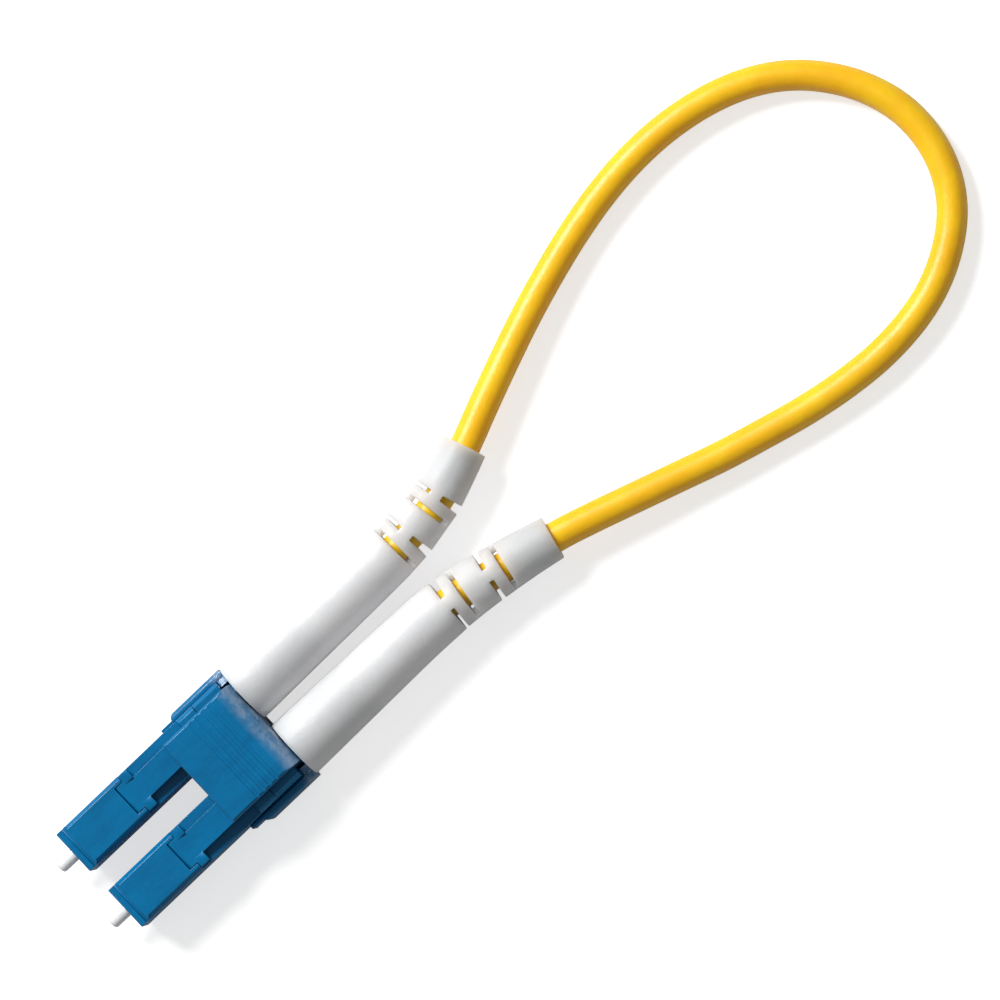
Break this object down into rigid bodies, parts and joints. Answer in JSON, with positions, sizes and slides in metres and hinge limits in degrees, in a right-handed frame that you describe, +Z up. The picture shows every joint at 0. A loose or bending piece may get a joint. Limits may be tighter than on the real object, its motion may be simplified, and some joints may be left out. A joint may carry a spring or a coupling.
{
  "type": "fibre loopback plug",
  "caption": "Duplex fibre-optic loopback plug: latched plugs held side by side in a clip, slotted strain-relief boots, and a short loop of cord that joins them.",
  "frame": {"origin": "centre of the clip's flat underside, midway between the two plugs", "axes": "+X along the plugs, the way they are pushed in; +Z up, the side that carries the latches; +Y to the left plug"},
  "size_m": [0.0993, 0.0298, 0.0066],
  "materials": {
    "plug_plastic": "moulded blue plastic, semi-gloss",
    "clip_plastic": "moulded blue plastic, semi-gloss, lightly scuffed on the trigger",
    "ferrule_ceramic": "ground white zirconia",
    "plated_metal": "nickel-plated brass",
    "spring_steel": "stainless spring wire",
    "buffer_plastic": "tight buffer over the glass fibre",
    "boot_rubber": "soft white elastomer, satin",
    "cord_jacket": "yellow cord jacket, satin"
  },
  "bodies": {
    "frame": {"clip_frame": "clip_plastic", "housing_left": "plug_plastic", "housing_right": "plug_plastic", "rear_body_left": "plug_plastic", "rear_body_right": "plug_plastic", "crimp_left": "plated_metal", "crimp_right": "plated_metal", "buffer_left": "buffer_plastic", "buffer_right": "buffer_plastic", "boot_left": "boot_rubber", "boot_right": "boot_rubber", "spring_left": "spring_steel", "spring_right": "spring_steel", "cord": "cord_jacket"},
    "trigger": {"clip_trigger": "clip_plastic"},
    "latch_left": {"latch_left": "plug_plastic"},
    "latch_right": {"latch_right": "plug_plastic"},
    "ferrule_left": {"ferrule_left": "ferrule_ceramic", "flange_left": "plated_metal"},
    "ferrule_right": {"ferrule_right": "ferrule_ceramic", "flange_right": "plated_metal"}
  },
  "joints": [
    {"name": "trigger_press", "type": "hinge", "parent": "frame", "child": "trigger", "pos_m": [-0.00325, 0, 0.00495], "axis": [0, 1, 0], "range_deg": [0, 5], "stiffness_Nm_per_rad": 0.0025},
    {"name": "latch_left_press", "type": "hinge", "parent": "frame", "child": "latch_left", "pos_m": [0.00945, 0.0033, 0.00477], "axis": [0, -1, 0], "range_deg": [0, 5], "stiffness_Nm_per_rad": 0.0004},
    {"name": "latch_right_press", "type": "hinge", "parent": "frame", "child": "latch_right", "pos_m": [0.00945, -0.0033, 0.00477], "axis": [0, -1, 0], "range_deg": [0, 5], "stiffness_Nm_per_rad": 0.0004},
    {"name": "ferrule_left_push", "type": "slide", "parent": "frame", "child": "ferrule_left", "axis": [-1, 0, 0], "range_m": [0, 0.001], "stiffness_N_per_m": 1500, "deforming": ["spring_left"]},
    {"name": "ferrule_right_push", "type": "slide", "parent": "frame", "child": "ferrule_right", "axis": [-1, 0, 0], "range_m": [0, 0.001], "stiffness_N_per_m": 1500, "deforming": ["spring_right"]}
  ],
  "couplings": [
    {"joint": "latch_left_press", "follows": "trigger_press", "ratio": 1},
    {"joint": "latch_right_press", "follows": "trigger_press", "ratio": 1}
  ]
}
